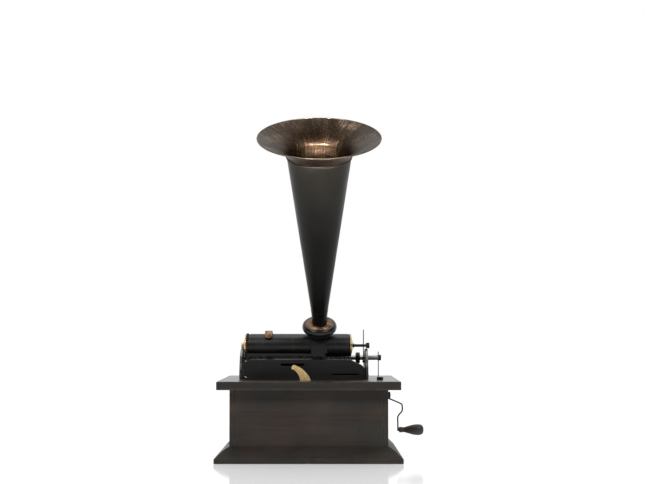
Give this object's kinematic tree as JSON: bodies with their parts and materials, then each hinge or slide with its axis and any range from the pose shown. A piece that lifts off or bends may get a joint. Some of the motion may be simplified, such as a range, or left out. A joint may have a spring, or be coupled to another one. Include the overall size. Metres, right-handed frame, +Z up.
{
  "type": "wind up phonograph",
  "caption": "Table-top wind up cylinder phonograph: dark wood case, black works on the deck, tall tilted horn with a flared bell, side crank and brass start lever.",
  "frame": {"origin": "centre of the base's underside, on the surface that the phonograph stands on", "axes": "+Z up, -Y towards the front (the lever's side), +X towards the crank"},
  "size_m": [0.3713, 0.3987, 0.5982],
  "materials": {
    "stained_wood": "near-black brown stain, satin, with faint grain",
    "plain_wood": "raw pine",
    "black_iron": "satin black enamel on castings",
    "black_tin": "satin black paint on sheet metal",
    "bronze": "dark patinated bronze with radial brushing",
    "brass": "aged brass, lightly tarnished",
    "steel": "plain turned and ground steel",
    "wax": "black moulded record, satin",
    "leather": "brown belt leather",
    "mica": "thin translucent mica sheet"
  },
  "bodies": {
    "case": {"plinth_front_left": "stained_wood", "plinth_front_right": "stained_wood", "plinth_back": "stained_wood", "plinth_left": "stained_wood", "plinth_right": "stained_wood", "case_front": "stained_wood", "case_back": "stained_wood", "case_left": "stained_wood", "case_right": "stained_wood", "bottom_board": "plain_wood", "deck_board": "stained_wood", "housing": "black_iron", "left_end_plate": "black_iron", "right_end_plate": "black_iron", "arbor_bush": "brass", "guide_bar": "black_iron", "back_rod": "steel", "rod_post": "steel", "crank_bush": "brass", "motor_plate_left": "steel", "motor_plate_right": "steel", "drive_belt": "leather"},
    "mandrel": {"mandrel_arbor": "black_iron", "mandrel_drum": "black_tin", "record_cylinder": "wax", "mandrel_gear": "brass", "left_end_cap": "brass", "right_end_cap": "brass", "arbor_knob": "black_iron"},
    "feed": {"feed_screw": "steel", "feed_gear": "brass", "feed_pulley": "black_iron"},
    "slider": {"carriage_bush": "brass"},
    "carriage": {"carriage_arm": "black_iron", "half_nut": "brass", "reproducer_body": "black_iron", "reproducer_face": "brass", "diaphragm": "mica", "stylus_bar": "steel"},
    "horn": {"horn_cone": "black_tin", "horn_bell": "bronze"},
    "catch": {"record_catch": "brass"},
    "gate": {"end_gate": "steel"},
    "lever": {"start_lever": "brass", "brake_arm": "steel"},
    "speed": {"speed_screw": "black_iron"},
    "rocker": {"speed_rocker": "steel"},
    "crank": {"crank_shaft": "steel", "crank_arm": "black_iron"},
    "grip": {"crank_grip": "stained_wood"},
    "winding": {"winding_wheel": "brass", "barrel_arbor": "steel"},
    "barrel": {"spring_barrel": "brass", "barrel_cover": "brass", "mainspring": "steel"},
    "click": {"click": "steel"},
    "second": {"second_arbor": "steel"},
    "pulley": {"pulley_arbor": "steel"},
    "governor": {"governor_shaft": "steel", "governor_weights": "brass"}
  },
  "joints": [
    {"name": "crank_turn", "type": "hinge", "parent": "case", "child": "crank", "pos_m": [0.15, 0, 0.10875], "axis": [1, 0, 0], "continuous": true},
    {"name": "grip_turn", "type": "hinge", "parent": "crank", "child": "grip", "pos_m": [0.18, 0, 0.04625], "axis": [1, 0, 0], "continuous": true},
    {"name": "winding_turn", "type": "hinge", "parent": "case", "child": "winding", "pos_m": [0.0695, 0, 0.066], "axis": [1, 0, 0], "continuous": true},
    {"name": "click_lift", "type": "hinge", "parent": "case", "child": "click", "pos_m": [0.0755, -0.026, 0.06], "axis": [1, 0, 0], "range_deg": [0, 8], "stiffness_Nm_per_rad": 0.01, "springref_deg": -8.59},
    {"name": "barrel_turn", "type": "hinge", "parent": "case", "child": "barrel", "pos_m": [0.04, 0, 0.066], "axis": [1, 0, 0], "continuous": true},
    {"name": "second_turn", "type": "hinge", "parent": "case", "child": "second", "pos_m": [0.0635, 0.03671, 0.08312], "axis": [1, 0, 0], "continuous": true},
    {"name": "pulley_turn", "type": "hinge", "parent": "case", "child": "pulley", "pos_m": [0.09, 0.045, 0.10643], "axis": [1, 0, 0], "continuous": true},
    {"name": "governor_turn", "type": "hinge", "parent": "case", "child": "governor", "pos_m": [0.041, 0.05567, 0.06721], "axis": [1, 0, 0], "continuous": true},
    {"name": "feed_turn", "type": "hinge", "parent": "case", "child": "feed", "pos_m": [0, 0.045, 0.17652], "axis": [1, 0, 0], "continuous": true},
    {"name": "mandrel_turn", "type": "hinge", "parent": "case", "child": "mandrel", "pos_m": [0, 0.012, 0.2], "axis": [1, 0, 0], "continuous": true},
    {"name": "carriage_slide", "type": "slide", "parent": "case", "child": "slider", "axis": [1, 0, 0], "range_m": [-0.048, 0]},
    {"name": "carriage_lift", "type": "hinge", "parent": "slider", "child": "carriage", "pos_m": [0.0174, 0.07, 0.176], "axis": [-1, 0, 0], "range_deg": [0, 18]},
    {"name": "horn_lift", "type": "slide", "parent": "carriage", "child": "horn", "axis": [0, -0.512, 0.859], "range_m": [0, 0.03]},
    {"name": "catch_swing", "type": "hinge", "parent": "case", "child": "catch", "pos_m": [-0.0755, 0.07, 0.176], "axis": [-1, 0, 0], "range_deg": [0, 100]},
    {"name": "gate_swing", "type": "hinge", "parent": "case", "child": "gate", "pos_m": [0.0995, 0.012, 0.171], "axis": [-1, 0, 0], "range_deg": [0, 35]},
    {"name": "start_lever_swing", "type": "hinge", "parent": "case", "child": "lever", "pos_m": [-0.007, -0.075, 0.112], "axis": [0, 1, 0], "range_deg": [0, 25]},
    {"name": "speed_turn", "type": "hinge", "parent": "case", "child": "speed", "pos_m": [0.1255, -0.062, 0.14], "axis": [0, 0, 1], "range_deg": [0, 720]},
    {"name": "rocker_swing", "type": "hinge", "parent": "case", "child": "rocker", "pos_m": [0.1, -0.03, 0.098], "axis": [1, 0, 0], "range_deg": [0, 0.6]}
  ],
  "couplings": [
    {"joint": "winding_turn", "follows": "crank_turn", "ratio": -0.26667},
    {"joint": "barrel_turn", "follows": "mandrel_turn", "ratio": -0.087},
    {"joint": "second_turn", "follows": "mandrel_turn", "ratio": 0.435},
    {"joint": "pulley_turn", "follows": "mandrel_turn", "ratio": -1.16},
    {"joint": "governor_turn", "follows": "mandrel_turn", "ratio": -1.16},
    {"joint": "feed_turn", "follows": "mandrel_turn", "ratio": -1.16},
    {"joint": "rocker_swing", "follows": "speed_turn", "ratio": 0.00083333}
  ]
}
